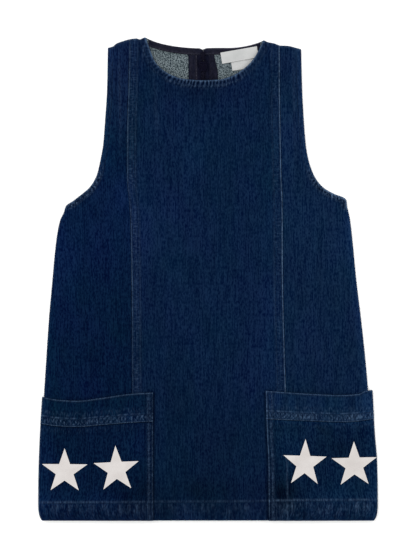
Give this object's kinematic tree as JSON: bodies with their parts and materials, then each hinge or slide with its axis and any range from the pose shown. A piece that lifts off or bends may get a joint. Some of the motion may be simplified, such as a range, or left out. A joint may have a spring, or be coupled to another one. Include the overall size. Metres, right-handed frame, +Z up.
{
  "type": "pinafore dress",
  "caption": "Child's sleeveless denim pinafore dress laid flat, with lengthwise felled seams, a back neck zip and banded patch pockets that carry pale star patches.",
  "frame": {"origin": "on the surface that the dress lies on, under the middle of its outline", "axes": "+X across the dress to the viewer's right, +Y from the hem to the neck, +Z up, out of the front"},
  "size_m": [0.3656, 0.52, 0.0117],
  "materials": {
    "denim": "dark indigo rigid twill, slightly sheeny",
    "navy_tape": "dark navy woven tape",
    "star_leather": "pale matte imitation leather",
    "label_white": "bare white satin tape",
    "dark_metal": "dark navy lacquer"
  },
  "bodies": {
    "root": {"front_centre": "denim", "front_side_left": "denim", "front_side_right": "denim", "back_left": "denim", "back_right": "denim", "pocket_left": "denim", "pocket_right": "denim", "pocket_band_left": "denim", "pocket_band_right": "denim", "star_left_outer": "star_leather", "star_left_inner": "star_leather", "star_right_inner": "star_leather", "star_right_outer": "star_leather", "neck_binding_left": "navy_tape", "neck_binding_right": "navy_tape", "zip_tape_left": "navy_tape", "zip_tape_right": "navy_tape", "zip_slider": "dark_metal", "label_main": "label_white", "label_size": "label_white"}
  },
  "joints": []
}
